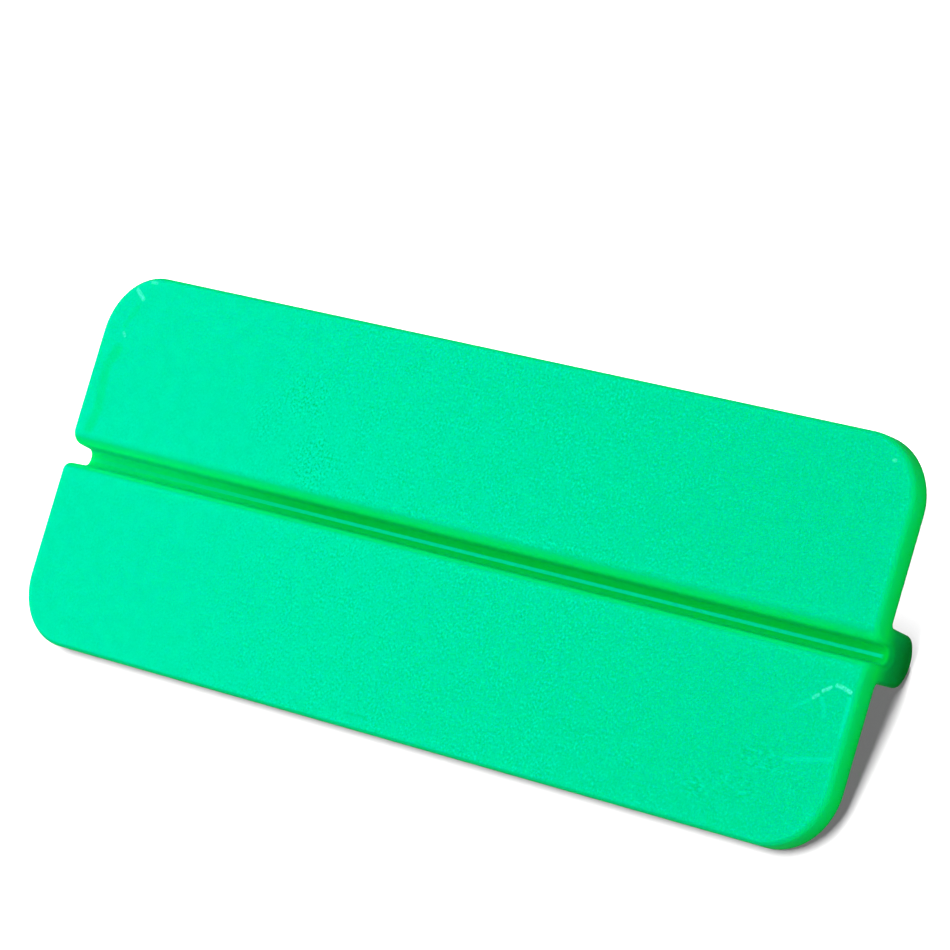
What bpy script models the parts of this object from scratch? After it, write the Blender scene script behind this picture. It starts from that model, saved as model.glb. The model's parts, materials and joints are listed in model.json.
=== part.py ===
"""A hand squeegee for laying vinyl film, modelled as it rests on a table.

The real tool is one plastic moulding: a flat plate with a working edge along each long side, stiffened down
the middle by a rib that stands out of the back and is cored from the front by a narrow groove. The moulding is
modelled as its three regions: the grooved rib along the middle and the blade on each side of it. Nothing moves
between them, and the thin gaps that keep the solids apart stand for no seam on the real tool.

The tool's own axes: X along the tool, Y across it from the lower to the upper blade, Z out of the front face.
Z is 0 on the front face. An empty tilts those axes into the pose in which the tool lies on its rib and on the
back of its lower edge.
"""

import math

import bmesh
import bpy

# Driving dimensions, in metres
LENGTH = 0.1016
WIDTH = 0.0381
BLADE_THICKNESS = 0.0026
CORNER_RADIUS = 0.00635
EDGE_RADIUS = 0.0003

RIB_ROOT_WIDTH = 0.0052
RIB_CREST_WIDTH = 0.0048
RIB_DEPTH = 0.00685  # from the front face to the crest
RIB_ROOT_FILLET = 0.0005
RIB_SIDE_RADIUS = 0.0012  # where each side turns into the crest
RIB_CROWN_RADIUS = 0.0034  # along the middle of the crest
RIB_CROWN_SLOPE = math.radians(28)  # how far the crest falls away from its middle

GROOVE_MOUTH_WIDTH = 0.0022
GROOVE_FLOOR_WIDTH = 0.0015
GROOVE_DEPTH = 0.0034
GROOVE_FLOOR_FILLET = 0.0005
UPPER_LIP_RADIUS = 0.0015
LOWER_LIP_RADIUS = 0.0009

FLANGE_WIDTH = 0.0006  # from each side of the rib out to the gap
REGION_GAP = 0.0003

ARC_STEPS = 12
EDGE_SEGMENTS = 3
WELD_DISTANCE = 1e-6
FLAT_ANGLE = math.radians(0.5)
SHARP_EDGE = math.radians(60)
SMOOTH_ANGLE = math.radians(35)
CUTTER_LENGTH = 2 * LENGTH
CUTTER_HEIGHT = 2 * WIDTH

# Linear RGBA, then roughness and metallic
GREEN_PLASTIC = ((0.002, 0.79, 0.35, 1.0), 0.42, 0.0)

# Worked out from the driving dimensions
HALF_LENGTH = LENGTH / 2
HALF_WIDTH = WIDTH / 2
FLANGE_Y = RIB_ROOT_WIDTH / 2 + FLANGE_WIDTH
BLADE_ROOT_Y = FLANGE_Y + REGION_GAP
SECTION_REACH = 2 * FLANGE_Y  # the rib's section is drawn this wide, then cut back to the flange
CROWN_CENTRE_Z = -(RIB_DEPTH - RIB_CROWN_RADIUS)


def rest_tilt():
    """The angle between the front face and the table, with the tool on its rib and its lower edge.

    Both feet are round: the crown along the rib and the rounded back of the lower edge. The table is the line
    that touches the two circles from below.
    """
    edge_y = -(HALF_WIDTH - EDGE_RADIUS)
    edge_z = -(BLADE_THICKNESS - EDGE_RADIUS)
    apart = math.hypot(edge_y, CROWN_CENTRE_Z - edge_z)
    between_centres = math.atan2(edge_z - CROWN_CENTRE_Z, -edge_y)
    return between_centres + math.asin((RIB_CROWN_RADIUS - EDGE_RADIUS) / apart)


def rounded(corners):
    """The points of a closed outline given as (x, y, radius) corners, each radius as an arc."""
    points = []
    for i, (x, y, radius) in enumerate(corners):
        if radius == 0:
            points.append((x, y))
            continue
        x0, y0, _ = corners[i - 1]
        x1, y1, _ = corners[(i + 1) % len(corners)]
        towards_last = math.atan2(y0 - y, x0 - x)
        towards_next = math.atan2(y1 - y, x1 - x)
        turn = (towards_next - towards_last + math.pi) % (2 * math.pi) - math.pi
        middle = towards_last + turn / 2
        to_centre = radius / math.sin(abs(turn) / 2)
        centre_x = x + to_centre * math.cos(middle)
        centre_y = y + to_centre * math.sin(middle)
        sweep = math.copysign(math.pi - abs(turn), turn)
        for step in range(ARC_STEPS + 1):
            angle = middle + math.pi + sweep * (0.5 - step / ARC_STEPS)
            points.append((centre_x + radius * math.cos(angle), centre_y + radius * math.sin(angle)))
    return points


def plastic(name):
    colour, roughness, metallic = GREEN_PLASTIC
    material = bpy.data.materials.new(name + "_plastic")
    material.use_nodes = True
    shader = material.node_tree.nodes["Principled BSDF"]
    shader.inputs["Base Color"].default_value = colour
    shader.inputs["Roughness"].default_value = roughness
    shader.inputs["Metallic"].default_value = metallic
    return material


def extruded_outline(name, corners, depth):
    """A mesh object of the outline, extruded to the depth, half of it on each side of its own XY plane."""
    curve = bpy.data.curves.new(name, "CURVE")
    curve.dimensions = "2D"
    curve.fill_mode = "BOTH"
    curve.extrude = depth / 2
    points = rounded(corners)
    spline = curve.splines.new("POLY")
    spline.points.add(len(points) - 1)
    for point, (x, y) in zip(spline.points, points):
        point.co = (x, y, 0, 1)
    spline.use_cyclic_u = True
    outline = bpy.data.objects.new(name + "_outline", curve)
    bpy.context.scene.collection.objects.link(outline)
    graph = bpy.context.evaluated_depsgraph_get()
    mesh = bpy.data.meshes.new_from_object(outline.evaluated_get(graph))
    bpy.data.objects.remove(outline)
    welded = bmesh.new()
    welded.from_mesh(mesh)
    bmesh.ops.remove_doubles(welded, verts=welded.verts, dist=WELD_DISTANCE)
    # one face for each flat end, so that a bevel runs evenly round it
    bmesh.ops.dissolve_limit(welded, angle_limit=FLAT_ANGLE, verts=welded.verts, edges=welded.edges)
    bmesh.ops.recalc_face_normals(welded, faces=welded.faces)
    welded.to_mesh(mesh)
    welded.free()
    return bpy.data.objects.new(name, mesh)


def round_edges(part):
    bevel = part.modifiers.new("rounded_edges", "BEVEL")
    bevel.limit_method = "ANGLE"
    bevel.angle_limit = SHARP_EDGE
    bevel.width = EDGE_RADIUS
    bevel.segments = EDGE_SEGMENTS
    bevel.use_clamp_overlap = False


def keep_region(part, low_y, high_y):
    """Cuts the part back to its region, from low_y to high_y across the tool, and returns the cutter."""
    region = bmesh.new()
    bmesh.ops.create_cube(region, size=1)
    bmesh.ops.scale(region, vec=(CUTTER_LENGTH, high_y - low_y, CUTTER_HEIGHT), verts=region.verts)
    mesh = bpy.data.meshes.new(part.name + "_region")
    region.to_mesh(mesh)
    region.free()
    cutter = bpy.data.objects.new(mesh.name, mesh)
    cutter.location = (0, (low_y + high_y) / 2, 0)
    cutter.hide_render = True
    cutter.display_type = "WIRE"
    cut = part.modifiers.new("region", "BOOLEAN")
    cut.operation = "INTERSECT"
    cut.object = cutter
    return cutter


def blade(name):
    """The whole plate, from which the region of one blade is kept."""
    corners = [
        (-HALF_LENGTH, -HALF_WIDTH, CORNER_RADIUS),
        (HALF_LENGTH, -HALF_WIDTH, CORNER_RADIUS),
        (HALF_LENGTH, HALF_WIDTH, CORNER_RADIUS),
        (-HALF_LENGTH, HALF_WIDTH, CORNER_RADIUS),
    ]
    part = extruded_outline(name, corners, BLADE_THICKNESS)
    part.location = (0, 0, -BLADE_THICKNESS / 2)
    round_edges(part)
    return part


def centre_rib():
    """The grooved rib between its two stretches of plate, as a section in (Y, Z) run along X."""
    mouth = GROOVE_MOUTH_WIDTH / 2
    floor = GROOVE_FLOOR_WIDTH / 2
    root = RIB_ROOT_WIDTH / 2
    crest = RIB_CREST_WIDTH / 2
    # the crest is a low roof whose ridge is rounded down to the crown
    ridge_z = -(RIB_DEPTH + RIB_CROWN_RADIUS * (1 / math.cos(RIB_CROWN_SLOPE) - 1))
    crest_z = ridge_z + crest * math.tan(RIB_CROWN_SLOPE)
    front = [
        (SECTION_REACH, 0, 0),
        (mouth, 0, UPPER_LIP_RADIUS),
        (floor, -GROOVE_DEPTH, GROOVE_FLOOR_FILLET),
        (-floor, -GROOVE_DEPTH, GROOVE_FLOOR_FILLET),
        (-mouth, 0, LOWER_LIP_RADIUS),
        (-SECTION_REACH, 0, 0),
    ]
    back = [
        (-SECTION_REACH, -BLADE_THICKNESS, 0),
        (-root, -BLADE_THICKNESS, RIB_ROOT_FILLET),
        (-crest, crest_z, RIB_SIDE_RADIUS),
        (0, ridge_z, RIB_CROWN_RADIUS),
        (crest, crest_z, RIB_SIDE_RADIUS),
        (root, -BLADE_THICKNESS, RIB_ROOT_FILLET),
        (SECTION_REACH, -BLADE_THICKNESS, 0),
    ]
    part = extruded_outline("centre_rib", front + back, LENGTH)
    # turns the section's own X and Y into the tool's Y and Z
    part.rotation_euler = (math.pi / 2, 0, math.pi / 2)
    round_edges(part)
    return part


def tool_axes_at_rest(collection):
    """The empty that holds the tool's own axes, tilted and lifted so that the tool touches Z 0 from above."""
    tilt = rest_tilt()
    edge_reach = (HALF_WIDTH - EDGE_RADIUS) * math.cos(tilt)
    # the front of the lower edge and the back of the upper edge reach furthest along Y
    lowest_y = -edge_reach + EDGE_RADIUS * math.sin(tilt) - EDGE_RADIUS
    highest_y = edge_reach + (BLADE_THICKNESS - EDGE_RADIUS) * math.sin(tilt) + EDGE_RADIUS
    axes = bpy.data.objects.new("tool_axes", None)
    axes.location = (0, -(lowest_y + highest_y) / 2, RIB_CROWN_RADIUS - CROWN_CENTRE_Z * math.cos(tilt))
    axes.rotation_euler = (tilt, 0, 0)
    collection.objects.link(axes)
    return axes


def build():
    for leftover in list(bpy.data.objects):
        bpy.data.objects.remove(leftover)
    collection = bpy.data.collections.new("squeegee_applicator")
    cutters = bpy.data.collections.new("cutters")
    bpy.context.scene.collection.children.link(collection)
    bpy.context.scene.collection.children.link(cutters)
    axes = tool_axes_at_rest(collection)
    regions = (
        (centre_rib(), -FLANGE_Y, FLANGE_Y),
        (blade("upper_blade"), BLADE_ROOT_Y, LENGTH),
        (blade("lower_blade"), -LENGTH, -BLADE_ROOT_Y),
    )
    for part, low_y, high_y in regions:
        cutter = keep_region(part, low_y, high_y)
        part.parent = axes
        cutter.parent = axes
        part.data.materials.append(plastic(part.name))
        part.data.shade_smooth()
        part.data.set_sharp_from_angle(angle=SMOOTH_ANGLE)
        collection.objects.link(part)
        cutters.objects.link(cutter)


build()
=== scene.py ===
"""The looks of the squeegee applicator: one green translucent moulding, lying on a pale floor.

Everything is placed in the tool's own axes: X along the tool, Y across it from the lower to the upper blade,
Z out of the front face, with Z 0 on the front face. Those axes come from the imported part's flat faces.
"""

import json
import math

import bmesh
import bpy
from mathutils import Matrix, Vector


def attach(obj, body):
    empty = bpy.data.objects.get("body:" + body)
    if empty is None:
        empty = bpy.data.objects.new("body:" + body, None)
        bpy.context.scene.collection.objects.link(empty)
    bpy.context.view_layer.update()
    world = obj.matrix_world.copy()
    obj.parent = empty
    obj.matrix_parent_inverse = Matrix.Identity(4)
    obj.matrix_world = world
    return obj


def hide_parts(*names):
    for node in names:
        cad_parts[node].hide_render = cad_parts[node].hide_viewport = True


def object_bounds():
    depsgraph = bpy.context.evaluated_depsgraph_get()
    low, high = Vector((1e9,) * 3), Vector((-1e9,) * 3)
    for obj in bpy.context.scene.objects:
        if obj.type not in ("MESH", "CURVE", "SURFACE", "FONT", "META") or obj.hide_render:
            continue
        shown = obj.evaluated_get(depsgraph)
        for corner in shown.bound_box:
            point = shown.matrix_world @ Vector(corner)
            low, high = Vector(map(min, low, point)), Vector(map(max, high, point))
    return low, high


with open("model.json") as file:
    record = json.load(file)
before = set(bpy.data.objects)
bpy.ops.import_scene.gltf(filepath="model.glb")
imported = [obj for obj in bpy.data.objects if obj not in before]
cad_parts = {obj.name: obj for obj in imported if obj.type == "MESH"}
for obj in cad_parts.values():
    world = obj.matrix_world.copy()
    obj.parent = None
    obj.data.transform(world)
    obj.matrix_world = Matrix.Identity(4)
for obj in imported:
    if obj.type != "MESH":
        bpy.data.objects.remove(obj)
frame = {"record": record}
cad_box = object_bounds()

MM = 0.001
LENGTH = cad_box[1][0] - cad_box[0][0]
LEFT_END = -LENGTH / 2
RIGHT_END = LENGTH / 2

# The moulding, in metres. Its length, width and thickness come from the frame.
CORNER_RADIUS = 6.35 * MM
EDGE_RADIUS = 0.55 * MM
RIB_ROOT_WIDTH = 5.2 * MM
RIB_CREST_WIDTH = 4.8 * MM
RIB_DEPTH = 6.85 * MM
RIB_ROOT_FILLET = 0.5 * MM
RIB_SIDE_RADIUS = 1.2 * MM
RIB_CROWN_RADIUS = 3.4 * MM
RIB_CROWN_SLOPE = math.radians(28)
GROOVE_MOUTH_WIDTH = 2.2 * MM
GROOVE_FLOOR_WIDTH = 1.5 * MM
GROOVE_DEPTH = 3.4 * MM
GROOVE_FLOOR_FILLET = 0.75 * MM
UPPER_LIP_RADIUS = 1.5 * MM
LOWER_LIP_RADIUS = 0.9 * MM

ARC_STEPS = 20
EDGE_SEGMENTS = 5
SHARP_EDGE = math.radians(50)
LARGE_FACES_FIRST = 100  # the weight that lets the flat faces set the normals where they meet a rounded edge
SPARE = 5 * MM  # how far the section runs past the outline that cuts it
CUTTER_DEPTH = 4 * RIB_DEPTH

# The camera, in the tool's axes
CAMERA_PLACE = (316.35 * MM, -24.1 * MM, 370.3 * MM)
CAMERA_AIM = (1.65 * MM, 7.0 * MM, 0)
CAMERA_ROLL = math.radians(16.41)
FOCAL_LENGTH = 197  # on Blender's 36 mm sensor
CLIP_START = 0.01

# The lights, in the tool's axes: where each one is and how wide, in metres, and its power in watts
KEY = ((0.45, 0.0, 0.42), 0.90, 4.65)
FILL = ((-0.42, 0.0, 0.22), 0.70, 2.45)
UPPER_FILL = ((-0.20, 0.40, 0.25), 0.50, 0.8)
LOWER_FILL = ((-0.20, -0.40, 0.25), 0.50, 0.8)
FLOOR_LOW = ((-0.08, 1.00, 0.22), 0.34, 24.0)
FLOOR_HIGH = ((-0.16, 0.18, 0.98), 0.80, 19.0)
WORLD_STRENGTH = 0.105
FLOOR_RADIUS = 0.5
FLOOR_SEGMENTS = 128
FLOOR_ROUGHNESS = 0.7
BACKDROP_RADIUS = 3.0
BACKDROP_SEGMENTS = 64
WHITE = (1, 1, 1, 1)
FLOOR_WHITE = (0.92, 0.92, 0.92, 1)
BLACK = (0, 0, 0, 1)

# The plastic's colours. The front runs from a lighter, bluer green at the left end to a deeper one at the
# right: the plastic's green with painted light and sheen, stronger towards the left.
LEFT_LIT_COLOUR = (0.0, 0.705, 0.388, 1)
RIGHT_DIMMER_COLOUR = (0.0, 0.650, 0.312, 1)
# SPECK_COLOUR, lighter and bluer than the face, colours the grain's specks, which are partly painted glints,
# and light marks
SPECK_COLOUR = (0.0, 0.76, 0.48, 1)
SCRATCH_COLOUR = (0.08, 0.88, 0.66, 1)
DARK_COLOUR = (0.0, 0.52, 0.12, 1)
GREEN_COLOUR = (0.0, 0.67, 0.145, 1)
# a painted highlight along the groove's floor, lighter than the front face
GROOVE_HIGHLIGHT_COLOUR = (0.0, 0.90, 0.43, 1)
# The walls are painted in shade: their green darkens with depth below the lit front face, standing in for the
# light that reaches them through the plastic from the front. These are the colours of the two ends, and then
# of the other sides and the groove's walls, each from its depth below the front face.
END_SHADE_COLOURS = (
    (0.1 * MM, (0.0, 0.670, 0.235, 1)),
    (0.6 * MM, (0.0, 0.770, 0.160, 1)),
    (1.9 * MM, (0.0, 0.750, 0.080, 1)),
    (3.4 * MM, (0.0, 0.370, 0.060, 1)),
    (5.8 * MM, (0.0, 0.172, 0.016, 1)),
)
SIDE_SHADE_COLOURS = (
    (0.1 * MM, (0.0, 0.580, 0.225, 1)),
    (0.5 * MM, (0.0, 0.730, 0.165, 1)),
    (1.1 * MM, (0.0, 0.970, 0.125, 1)),
    (3.3 * MM, (0.0, 0.710, 0.070, 1)),
    (5.8 * MM, (0.0, 0.500, 0.050, 1)),
)
# painted light on the walls: lighter near the left end, and partly where a wall faces +Y, towards more light
LIT_WALL_COLOUR = (0.0, 0.98, 0.19, 1)  # near the left end, and partly where a wall faces +Y

IOR = 1.5
SPECULAR_LEVEL = 0.06
SPECULAR_TINT = (0.0, 0.65, 1.0, 1)
SCATTER_RADIUS = (0.1, 1.0, 0.25)
SCATTER_SCALE = 1.6 * MM
ROUGHNESS = 0.42
GRAIN_ROUGHNESS = 0.12  # between the grain's lows and its highs
SCRATCH_ROUGHNESS = 0.15
SCRATCH_RELIEF = 0.6
BUMP_STRENGTH = 0.5
BUMP_HEIGHT = 0.04 * MM

# Ramps: the values where each starts and ends, then what it gives at those, or 0 and 1 if nothing is said
# How squarely a surface faces along one of the tool's axes, from -1 to 1
# FLAT_FACING: facing the front, a surface takes the lit face colour; elsewhere the walls' painted shade
FLAT_FACING = (0.78, 0.995)
END_FACING = (0.1, 0.7)
# UP_FACING: how much a wall facing +Y takes the walls' painted light
UP_FACING = (0.2, 0.9, 0.0, 0.4)
GROOVE_FLOOR_FACING = (0.0, 0.1)
GROOVE_WALL_FACING = (0.02, 0.08)
# Along the tool
# LEFT_WALLS spreads the walls' painted light in from the left end
LEFT_WALLS = (LEFT_END, -15 * MM, 1.0, 0.0)
# where the groove's painted highlight line fades out, at the left and at both ends
GROOVE_LINE_LEFT = (LEFT_END, -10 * MM, 0.8, 0.0)
GROOVE_LINE_ENDS = (RIGHT_END - 1.2 * MM, RIGHT_END - 0.7 * MM)
GROOVE_LEAN = (LEFT_END, -10 * MM, 0.4, 0.1)
# The grain's specks fade towards both ends: partly the grain itself, partly painted glints that follow the
# light
GRAIN_LEFT = (-34 * MM, -14 * MM, 0.35, 1.0)
GRAIN_RIGHT = (15 * MM, 40 * MM, 1.0, 0.55)
# Across the tool, from the groove's painted highlight line and from the middle
GROOVE_LINE_PLACE = -0.04 * MM
GROOVE_LINE_EDGE = (0.096 * MM, 0.224 * MM)
GROOVE_REACH = (1.4 * MM, 2.6 * MM, 1.0, 0.0)
# Height, which is 0 on the front face and negative below it
BELOW_LIPS = (-1.4 * MM, -0.4 * MM, 1.0, 0.0)
GROOVE_FLOOR_HEIGHT = (-3.2 * MM, -2.8 * MM, 1.0, 0.0)
# The noises, each with the size of its features
GRAIN_SIZE = 0.26 * MM
GRAIN_CONTRAST = 1.3
GRAIN_SPECKS = (0.50, 0.78)
GRAIN_PITS = (0.28, 0.50, 1.0, 0.0)
PIT_STRENGTH = 0.35
CLUMP_SIZE = 3.0 * MM
CLUMPS = (0.35, 0.65, 0.6, 1.0)
BLOTCH_SIZE = 1.6 * MM
BLOTCHES = (0.35, 0.65, 0.0, 0.10)
BREAK_SIZE = 0.25 * MM
BREAKS = (0.35, 0.6, 0.4, 1.0)
LUMP_SIZE = 0.35 * MM
LUMP_STRETCH = (0.5, 1.0, 1.0)
# The rough patches: worn texture, with painted shade in its dimples and painted highlights on its bumps
LUMP_SHADE = (0.38, 0.50, 0.38, 0.0)
LUMP_HIGHLIGHT = (0.52, 0.66, 0.0, 0.75)
# The soft edge of a line, in half widths, and of a patch, in half lengths
LINE_EDGE = (0.4, 1.6)
PATCH_EDGE = (0.35, 1.25)
PATCH_DEPTH = 1000  # in millimetres, far more than the tool's, so that a patch covers any depth

# Marks on the front face, in millimetres along and across it.
# Each line is its half width, its strength and its points.
SCRATCHES = (
    (0.16, 0.60, ((46.4, -5.2), (46.8, -4.9))),
    (0.16, 0.70, ((47.2, -4.45), (47.9, -4.0))),
    (0.17, 0.80, ((48.5, -3.7), (49.2, -3.75), (50.1, -4.0))),
    (0.20, 0.80, ((-47.6, 17.3), (-46.5, 16.5))),
    (0.14, 0.50, ((-47.8, 12.8), (-47.5, 12.5))),
    (0.15, 0.50, ((-46.0, 18.35), (-45.3, 18.35))),
    (0.16, 0.40, ((47.6, 16.8), (47.8, 16.8))),
)
FAINT_LINES = (
    (0.16, 0.35, ((44.6, -6.4), (45.6, -5.8), (46.3, -5.3))),
    (0.20, 0.45, ((50.2, -4.6), (50.3, -6.4), (50.2, -8.0))),
    (0.20, 0.50, ((47.3, -5.2), (47.8, -5.8), (48.0, -6.6))),
    (0.22, 0.45, ((45.2, -11.1), (47.9, -10.6), (50.0, -10.1))),
)
GREEN_LINES = (
    (0.60, 0.40, ((-47.9, 11.0), (-48.7, 9.3), (-48.5, 6.7), (-48.2, 4.7), (-48.6, 2.8))),
    (0.32, 0.24, ((-47.9, 13.6), (-46.9, 15.4))),
)
DARK_LINES = (
    (0.16, 0.30, ((-5.5, -17.7), (-2.9, -17.7))),
    (0.18, 0.25, ((41.5, -10.9), (44.5, -10.4))),
)
# Each patch is its middle, its half length and half width along and across the tool, and its strength.
SPECKLED_PATCHES = (
    ((-21.5, 10.6), (3.4, 2.6), 1.0),
    ((-18.4, 4.6), (2.8, 3.0), 1.0),
    ((-25.5, 8.0), (2.5, 3.0), 0.5),
)
ROUGH_PATCHES = (
    ((36.6, -15.6), (1.6, 1.4), 1.0),
    ((40.0, -14.6), (3.6, 1.7), 0.8),
    ((42.4, -11.6), (3.4, 1.4), 0.8),
)


def mount(name):
    found = next(m for m in frame["record"]["mounts"] if m["name"] == name)
    return Vector(found["pos_m"]), Vector(found["axis"])


def tool_axes():
    """The matrix from the tool's own axes to the table's."""
    upper, normal = mount("upper_front_face")
    lower, _ = mount("lower_front_face")
    along = Vector((1, 0, 0))
    across = normal.cross(along).normalized()
    normal = along.cross(across)
    turn = Matrix((along, across, normal)).transposed()
    return Matrix.Translation((upper + lower) / 2) @ turn.to_4x4()


TOOL = tool_axes()
WIDTH = (mount("upper_working_edge")[0] - mount("lower_working_edge")[0]).length
THICKNESS = -(TOOL.inverted() @ mount("upper_back_face")[0]).z


def rounded(corners):
    """The points of a closed outline given as (x, y, radius) corners, each radius as an arc."""
    points = []
    for i, (x, y, radius) in enumerate(corners):
        if radius == 0:
            points.append((x, y))
            continue
        x0, y0, _ = corners[i - 1]
        x1, y1, _ = corners[(i + 1) % len(corners)]
        towards_last = math.atan2(y0 - y, x0 - x)
        towards_next = math.atan2(y1 - y, x1 - x)
        turn = (towards_next - towards_last + math.pi) % (2 * math.pi) - math.pi
        middle = towards_last + turn / 2
        to_centre = radius / math.sin(abs(turn) / 2)
        centre_x = x + to_centre * math.cos(middle)
        centre_y = y + to_centre * math.sin(middle)
        sweep = math.copysign(math.pi - abs(turn), turn)
        for step in range(ARC_STEPS + 1):
            angle = middle + math.pi + sweep * (0.5 - step / ARC_STEPS)
            points.append((centre_x + radius * math.cos(angle), centre_y + radius * math.sin(angle)))
    return points


def prism(name, corners, depth):
    """A closed mesh object of the outline, run along its own Z by the depth, half on each side of Z 0."""
    points = rounded(corners)
    mesh = bmesh.new()
    base = mesh.faces.new([mesh.verts.new((x, y, -depth / 2)) for x, y in points])
    top = bmesh.ops.extrude_face_region(mesh, geom=[base])["geom"]
    bmesh.ops.translate(mesh, vec=(0, 0, depth), verts=[g for g in top if isinstance(g, bmesh.types.BMVert)])
    bmesh.ops.recalc_face_normals(mesh, faces=mesh.faces)
    data = bpy.data.meshes.new(name)
    mesh.to_mesh(data)
    mesh.free()
    obj = bpy.data.objects.new(name, data)
    bpy.context.scene.collection.objects.link(obj)
    return obj


def section():
    """The moulding's cross-section, as (Y, Z) corners."""
    edge = WIDTH / 2 + SPARE
    mouth = GROOVE_MOUTH_WIDTH / 2
    floor = GROOVE_FLOOR_WIDTH / 2
    root = RIB_ROOT_WIDTH / 2
    crest = RIB_CREST_WIDTH / 2
    ridge_z = -(RIB_DEPTH + RIB_CROWN_RADIUS * (1 / math.cos(RIB_CROWN_SLOPE) - 1))
    crest_z = ridge_z + crest * math.tan(RIB_CROWN_SLOPE)
    front = [
        (edge, 0, 0),
        (mouth, 0, UPPER_LIP_RADIUS),
        (floor, -GROOVE_DEPTH, GROOVE_FLOOR_FILLET),
        (-floor, -GROOVE_DEPTH, GROOVE_FLOOR_FILLET),
        (-mouth, 0, LOWER_LIP_RADIUS),
        (-edge, 0, 0),
    ]
    back = [
        (-edge, -THICKNESS, 0),
        (-root, -THICKNESS, RIB_ROOT_FILLET),
        (-crest, crest_z, RIB_SIDE_RADIUS),
        (0, ridge_z, RIB_CROWN_RADIUS),
        (crest, crest_z, RIB_SIDE_RADIUS),
        (root, -THICKNESS, RIB_ROOT_FILLET),
        (edge, -THICKNESS, 0),
    ]
    return front + back


def plan():
    """The moulding's outline seen from the front, as (X, Y) corners."""
    top = WIDTH / 2
    corners = ((LEFT_END, -top), (RIGHT_END, -top), (RIGHT_END, top), (LEFT_END, top))
    return [(x, y, CORNER_RADIUS) for x, y in corners]


def apply_modifiers(obj):
    graph = bpy.context.evaluated_depsgraph_get()
    data = bpy.data.meshes.new_from_object(obj.evaluated_get(graph))
    obj.modifiers.clear()
    obj.data = data


def moulding():
    """The whole tool: its section run along it, cut to its outline, with its outer edges rounded."""
    body = prism("moulding", section(), LENGTH + 2 * SPARE)
    # turns the section's own X and Y into the tool's Y and Z
    body.data.transform(Matrix.Rotation(math.pi / 2, 4, "Z") @ Matrix.Rotation(math.pi / 2, 4, "X"))
    outline = prism("outline", plan(), CUTTER_DEPTH)
    trim = body.modifiers.new("outline", "BOOLEAN")
    trim.operation = "INTERSECT"
    trim.object = outline
    bevel = body.modifiers.new("edges", "BEVEL")
    bevel.limit_method = "ANGLE"
    bevel.angle_limit = SHARP_EDGE
    bevel.width = EDGE_RADIUS
    bevel.segments = EDGE_SEGMENTS
    bevel.use_clamp_overlap = False
    apply_modifiers(body)
    bpy.data.objects.remove(outline)
    body.data.shade_smooth()
    even = body.modifiers.new("even_shading", "WEIGHTED_NORMAL")
    even.weight = LARGE_FACES_FIRST
    apply_modifiers(body)
    body.data.transform(TOOL)
    return body


class Graph:
    """Short names for the shader nodes used here. node() returns a node, and the others return an output."""

    def __init__(self, tree):
        self.tree = tree

    def node(self, kind, inputs=(), **settings):
        node = self.tree.nodes.new("ShaderNode" + kind)
        for name, value in settings.items():
            setattr(node, name, value)
        for key, value in dict(inputs).items():
            if isinstance(value, bpy.types.NodeSocket):
                self.tree.links.new(value, node.inputs[key])
            else:
                node.inputs[key].default_value = value
        return node

    def math(self, operation, *values, clamp=False):
        return self.node("Math", enumerate(values), operation=operation, use_clamp=clamp).outputs[0]

    def vector(self, operation, *values, output="Vector"):
        return self.node("VectorMath", enumerate(values), operation=operation).outputs[output]

    def scale(self, vector, factor):
        return self.node("VectorMath", {0: vector, "Scale": factor}, operation="SCALE").outputs[0]

    def ramp(self, value, low, high, to_low=0.0, to_high=1.0):
        """The value's place between low and high, eased at both ends."""
        inputs = {"Value": value, "From Min": low, "From Max": high, "To Min": to_low, "To Max": to_high}
        return self.node("MapRange", inputs, interpolation_type="SMOOTHSTEP").outputs[0]

    def noise(self, place, size, detail=2.0):
        return self.node("TexNoise", {"Vector": place, "Scale": 1 / size, "Detail": detail}).outputs[0]

    def mix(self, factor, first, second):
        """The two colours mixed."""
        node = self.node("Mix", {0: factor, 6: first, 7: second}, data_type="RGBA")
        return node.outputs[2]

    def absolute(self, value):
        return self.math("ABSOLUTE", value)

    def product(self, first, second, clamp=False):
        return self.math("MULTIPLY", first, second, clamp=clamp)

    def bands(self, depth, colours):
        """The colour at a share of the rib's depth, between the colours given for some depths in metres."""
        node = self.node("ValToRGB", {0: depth})
        stops = node.color_ramp.elements
        for i, (deep, colour) in enumerate(colours):
            stop = stops[i] if i < 2 else stops.new(1.0)
            stop.position = deep / RIB_DEPTH
            stop.color = colour
        return node.outputs[0]

    def largest(self, values):
        result = values[0]
        for value in values[1:]:
            result = self.math("MAXIMUM", result, value)
        return result

    def line(self, place, half_width, strength, points):
        """The strength along a line through points in millimetres on the front face, and 0 away from it."""
        distances = []
        for start, end in zip(points, points[1:]):
            start = Vector((*start, 0)) * MM
            run = Vector((*end, 0)) * MM - start
            offset = self.vector("SUBTRACT", place, start)
            along = self.vector("DOT_PRODUCT", offset, run / run.length_squared, output="Value")
            nearest = self.scale(run, self.math("ADD", along, 0.0, clamp=True))
            distances.append(self.vector("DISTANCE", offset, nearest, output="Value"))
        nearest = distances[0]
        for distance in distances[1:]:
            nearest = self.math("MINIMUM", nearest, distance)
        inner, outer = (share * half_width * MM for share in LINE_EDGE)
        return self.ramp(nearest, inner, outer, strength, 0.0)

    def lines(self, place, lines):
        return self.largest([self.line(place, *line) for line in lines])

    def patch(self, place, middle, reach, strength):
        """The strength at the middle of an oval on the front face, fading to 0 at its edge."""
        offset = self.vector("SUBTRACT", place, Vector((*middle, 0)) * MM)
        offset = self.vector("DIVIDE", offset, Vector((*reach, PATCH_DEPTH)) * MM)
        distance = self.vector("LENGTH", offset, output="Value")
        return self.ramp(distance, *PATCH_EDGE, strength, 0.0)

    def patches(self, place, patches):
        return self.largest([self.patch(place, *patch) for patch in patches])


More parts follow.
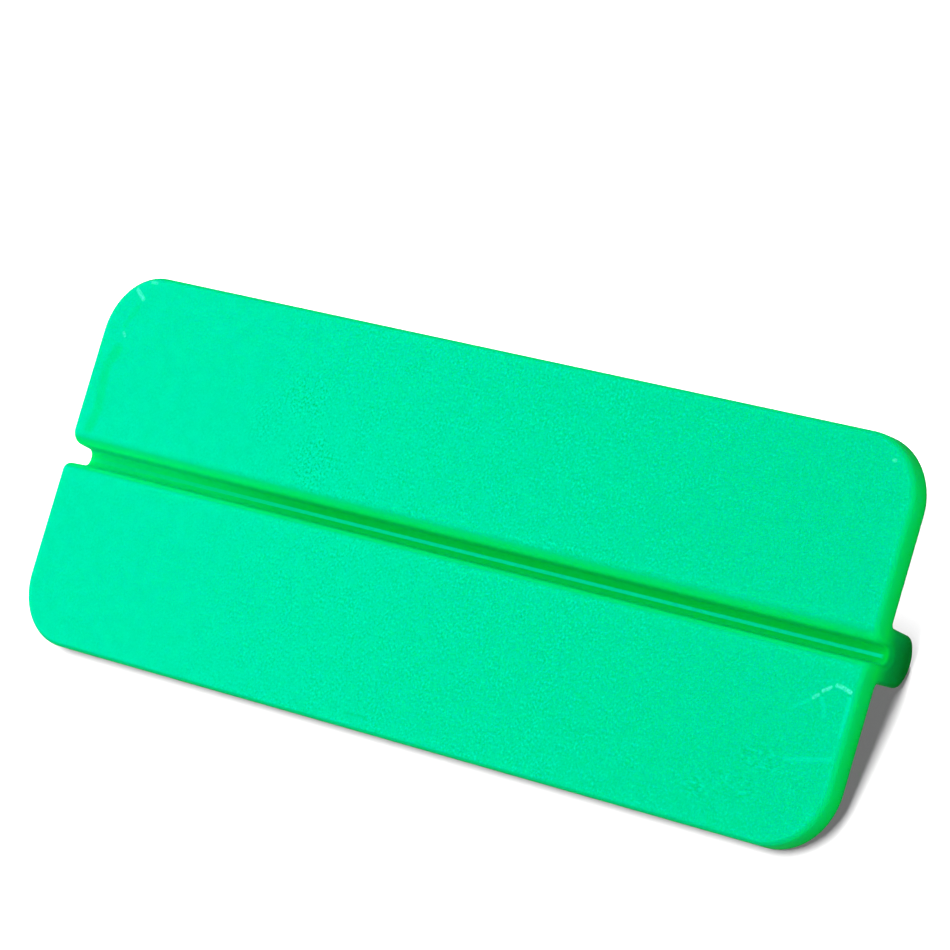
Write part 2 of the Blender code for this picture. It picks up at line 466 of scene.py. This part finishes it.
class Surface:
    """A point on the plastic, as node outputs: where it is, which way it faces, its grain and its marks."""

    def __init__(self, graph):
        coordinates = graph.node("TexCoord").outputs
        tool = {"Location": TOOL.translation, "Rotation": TOOL.to_euler(), "Vector": coordinates["Object"]}
        self.place = graph.node("Mapping", tool, vector_type="TEXTURE").outputs[0]
        self.along, self.across, self.height = graph.node("SeparateXYZ", {0: self.place}).outputs[:3]
        # how squarely it faces along X, Y and Z
        axes = [TOOL.col[i].xyz for i in range(3)]
        normal = coordinates["Normal"]
        self.facing = [graph.vector("DOT_PRODUCT", normal, axis, output="Value") for axis in axes]

        floor = graph.ramp(self.height, *GROOVE_FLOOR_HEIGHT)
        self.groove_floor = graph.product(floor, graph.ramp(self.facing[2], *GROOVE_FLOOR_FACING))

        self.grain = graph.noise(self.place, GRAIN_SIZE, detail=1.0)
        spread = graph.product(graph.ramp(self.along, *GRAIN_LEFT), graph.ramp(self.along, *GRAIN_RIGHT))
        spread = graph.product(spread, graph.ramp(graph.noise(self.place, CLUMP_SIZE), *CLUMPS))
        coverage = graph.math("ADD", spread, graph.patches(self.place, SPECKLED_PATCHES))
        self.coverage = graph.product(coverage, GRAIN_CONTRAST)

        broken = graph.ramp(graph.noise(self.place, BREAK_SIZE), *BREAKS)
        self.scratches = graph.product(graph.lines(self.place, SCRATCHES), broken)
        self.rough = graph.patches(self.place, ROUGH_PATCHES)
        self.lumps = graph.noise(graph.vector("MULTIPLY", self.place, LUMP_STRETCH), LUMP_SIZE)


def shaded_wall_colour(graph, surface):
    """The painted-shade colour of a side, an end or a groove wall: darker the deeper it lies below the front
    face, with painted light near the left end and where a wall faces +Y.
    """
    depth = graph.math("DIVIDE", surface.height, -RIB_DEPTH)
    # painted shade: the deeper below the front face, the darker
    side = graph.bands(depth, SIDE_SHADE_COLOURS)
    # painted light: the walls lighter near the left end, and below, where they face +Y
    left = graph.product(graph.ramp(surface.along, *LEFT_WALLS), graph.ramp(surface.height, *BELOW_LIPS))
    side = graph.mix(left, side, LIT_WALL_COLOUR)
    side = graph.mix(graph.ramp(surface.facing[1], *UP_FACING), side, LIT_WALL_COLOUR)
    end = graph.ramp(graph.absolute(surface.facing[0]), *END_FACING)
    return graph.mix(end, side, graph.bands(depth, END_SHADE_COLOURS))


def face_colour(graph, surface):
    """The colour of the front and the back, with painted light and sheen along the tool, grain with painted
    glints, marks, and the groove's painted highlight line.
    """
    place = surface.place
    # painted light and sheen: the front lighter and bluer towards the left end
    colour = graph.mix(graph.ramp(surface.along, LEFT_END, RIGHT_END), LEFT_LIT_COLOUR, RIGHT_DIMMER_COLOUR)
    colour = graph.mix(graph.ramp(graph.noise(place, BLOTCH_SIZE), *BLOTCHES), colour, DARK_COLOUR)
    pit_strength = graph.product(surface.coverage, PIT_STRENGTH)
    pits = graph.product(graph.ramp(surface.grain, *GRAIN_PITS), pit_strength)
    colour = graph.mix(pits, colour, DARK_COLOUR)
    # the grain's specks: moulded grain with painted glints
    specks = graph.product(graph.ramp(surface.grain, *GRAIN_SPECKS), surface.coverage, clamp=True)
    colour = graph.mix(specks, colour, SPECK_COLOUR)
    colour = graph.mix(graph.lines(place, GREEN_LINES), colour, GREEN_COLOUR)
    # the rough patches: wear, with painted shade in the dimples and painted highlights on the bumps
    rough_shade = graph.product(surface.rough, graph.ramp(surface.lumps, *LUMP_SHADE))
    dark = graph.math("MAXIMUM", rough_shade, graph.lines(place, DARK_LINES))
    colour = graph.mix(dark, colour, DARK_COLOUR)
    rough_highlight = graph.product(surface.rough, graph.ramp(surface.lumps, *LUMP_HIGHLIGHT))
    light = graph.math("MAXIMUM", rough_highlight, graph.lines(place, FAINT_LINES))
    colour = graph.mix(light, colour, SPECK_COLOUR)
    colour = graph.mix(surface.scratches, colour, SCRATCH_COLOUR)
    # painted highlight: the bright line along the groove's floor
    return graph.mix(surface.groove_floor, colour, GROOVE_HIGHLIGHT_COLOUR)


def face_share(graph, surface):
    """How far a point has the face's lit colour rather than the walls' painted shade: 1 on a face and on the
    groove's painted highlight line, 0 on a wall.
    """
    flat = graph.ramp(graph.absolute(surface.facing[2]), *FLAT_FACING)
    from_line = graph.absolute(graph.math("SUBTRACT", surface.across, GROOVE_LINE_PLACE))
    near_end = graph.ramp(graph.absolute(surface.along), *GROOVE_LINE_ENDS)
    near_left = graph.ramp(surface.along, *GROOVE_LINE_LEFT)
    off_line = graph.largest([graph.ramp(from_line, *GROOVE_LINE_EDGE), near_end, near_left])
    off_line = graph.product(surface.groove_floor, off_line)
    return graph.product(flat, graph.math("SUBTRACT", 1.0, off_line))


def leaning_normal(graph, surface):
    """The normal, leaned towards the front on the groove's walls.

    It stands in for light that is carried inside the plastic and evens the walls out, most at the left.
    """
    groove = graph.ramp(graph.absolute(surface.across), *GROOVE_REACH)
    walls = graph.product(groove, graph.ramp(surface.facing[2], *GROOVE_WALL_FACING))
    lean = graph.product(walls, graph.ramp(surface.along, *GROOVE_LEAN))
    normal = graph.node("NewGeometry").outputs["Normal"]
    normal = graph.vector("ADD", normal, graph.scale(TOOL.col[2].xyz, lean))
    return graph.vector("NORMALIZE", normal)


def green_plastic():
    material = bpy.data.materials.new("green_plastic")
    material.use_nodes = True
    graph = Graph(material.node_tree)
    shader = material.node_tree.nodes["Principled BSDF"]
    shader.inputs["IOR"].default_value = IOR
    shader.inputs["Specular IOR Level"].default_value = SPECULAR_LEVEL
    shader.inputs["Specular Tint"].default_value = SPECULAR_TINT
    shader.inputs["Subsurface Weight"].default_value = 1.0
    shader.inputs["Subsurface Radius"].default_value = SCATTER_RADIUS
    shader.inputs["Subsurface Scale"].default_value = SCATTER_SCALE

    surface = Surface(graph)
    share = face_share(graph, surface)
    # the lit face colour on the faces, the painted-shade colour on the walls
    colour = graph.mix(share, shaded_wall_colour(graph, surface), face_colour(graph, surface))
    roughness = graph.product(surface.grain, GRAIN_ROUGHNESS)
    roughness = graph.math("ADD", roughness, ROUGHNESS - GRAIN_ROUGHNESS / 2)
    roughness = graph.math("ADD", roughness, graph.product(surface.scratches, SCRATCH_ROUGHNESS))
    relief = graph.product(surface.grain, surface.coverage)
    relief = graph.math("ADD", relief, graph.product(surface.rough, surface.lumps))
    relief = graph.math("SUBTRACT", relief, graph.product(surface.scratches, SCRATCH_RELIEF))
    normal = leaning_normal(graph, surface)
    raised = {"Height": relief, "Strength": BUMP_STRENGTH, "Distance": BUMP_HEIGHT, "Normal": normal}
    bump = graph.node("Bump", raised).outputs[0]
    for name, value in (("Base Color", colour), ("Roughness", roughness), ("Normal", bump)):
        material.node_tree.links.new(value, shader.inputs[name])
    return material


def floor():
    """A pale disc. It takes the tool's shadow but doesn't light the tool."""
    bpy.ops.mesh.primitive_circle_add(radius=FLOOR_RADIUS, vertices=FLOOR_SEGMENTS, fill_type="NGON")
    disc = bpy.context.object
    disc.name = "floor"
    material = bpy.data.materials.new("pale_floor")
    material.use_nodes = True
    shader = material.node_tree.nodes["Principled BSDF"]
    shader.inputs["Base Color"].default_value = FLOOR_WHITE
    shader.inputs["Roughness"].default_value = FLOOR_ROUGHNESS
    disc.data.materials.append(material)
    disc.visible_diffuse = False
    disc.visible_glossy = False
    return disc


def backdrop():
    """A plain white surround, seen past the floor's edge, that lights nothing and casts no shadow."""
    rings = BACKDROP_SEGMENTS // 2
    bpy.ops.mesh.primitive_uv_sphere_add(radius=BACKDROP_RADIUS, segments=BACKDROP_SEGMENTS, ring_count=rings)
    dome = bpy.context.object
    dome.name = "backdrop"
    material = bpy.data.materials.new("white_backdrop")
    material.use_nodes = True
    shader = material.node_tree.nodes["Principled BSDF"]
    shader.inputs["Base Color"].default_value = BLACK
    shader.inputs["Specular IOR Level"].default_value = 0.0
    shader.inputs["Emission Color"].default_value = WHITE
    shader.inputs["Emission Strength"].default_value = 1.0
    dome.data.materials.append(material)
    dome.visible_diffuse = False
    dome.visible_glossy = False
    dome.visible_transmission = False
    dome.visible_volume_scatter = False
    dome.visible_shadow = False


def camera():
    """The camera, turned so that its up lies near the tool's Y before it is rolled."""
    data = bpy.data.cameras.new("camera")
    data.lens = FOCAL_LENGTH
    data.clip_start = CLIP_START
    obj = bpy.data.objects.new("camera", data)
    bpy.context.scene.collection.objects.link(obj)
    place, aim = Vector(CAMERA_PLACE), Vector(CAMERA_AIM)
    backward = (place - aim).normalized()
    right = Vector((0, 1, 0)).cross(backward).normalized()
    up = backward.cross(right)
    turn = Matrix((right, up, backward)).transposed().to_4x4()
    obj.matrix_world = TOOL @ Matrix.Translation(place) @ turn @ Matrix.Rotation(CAMERA_ROLL, 4, "Z")
    bpy.context.scene.camera = obj


def area_light(name, place, size, power, lit):
    """A soft light aimed at the middle of the front face, that lights one object only."""
    data = bpy.data.lights.new(name, "AREA")
    data.shape = "DISK"
    data.size = size
    data.energy = power
    obj = bpy.data.objects.new(name, data)
    bpy.context.scene.collection.objects.link(obj)
    place = TOOL @ Vector(place)
    turn = (place - TOOL.translation).to_track_quat("Z", "Y")
    obj.matrix_world = Matrix.Translation(place) @ turn.to_matrix().to_4x4()
    receivers = bpy.data.collections.new(name + "_receivers")
    receivers.objects.link(lit)
    obj.light_linking.receiver_collection = receivers
    return obj


def studio(body, disc):
    """The world's weak even light, and the lights. The three fills don't show in the plastic's gloss."""
    world = bpy.data.worlds.new("studio")
    bpy.context.scene.world = world
    world.use_nodes = True
    world.node_tree.nodes["Background"].inputs["Strength"].default_value = WORLD_STRENGTH
    world.node_tree.nodes["Background"].inputs["Color"].default_value = WHITE
    area_light("key", *KEY, body)
    for name, fill in (("fill", FILL), ("upper_fill", UPPER_FILL), ("lower_fill", LOWER_FILL)):
        area_light(name, *fill, body).visible_glossy = False
    area_light("floor_low", *FLOOR_LOW, disc)
    area_light("floor_high", *FLOOR_HIGH, disc)
    bpy.context.scene.view_settings.view_transform = "Standard"


camera()
body = moulding()
body.data.materials.append(green_plastic())
body.visible_diffuse = False  # it doesn't light the floor
studio(body, floor())
backdrop()
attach(body, "root")
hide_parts("centre_rib", "upper_blade", "lower_blade")
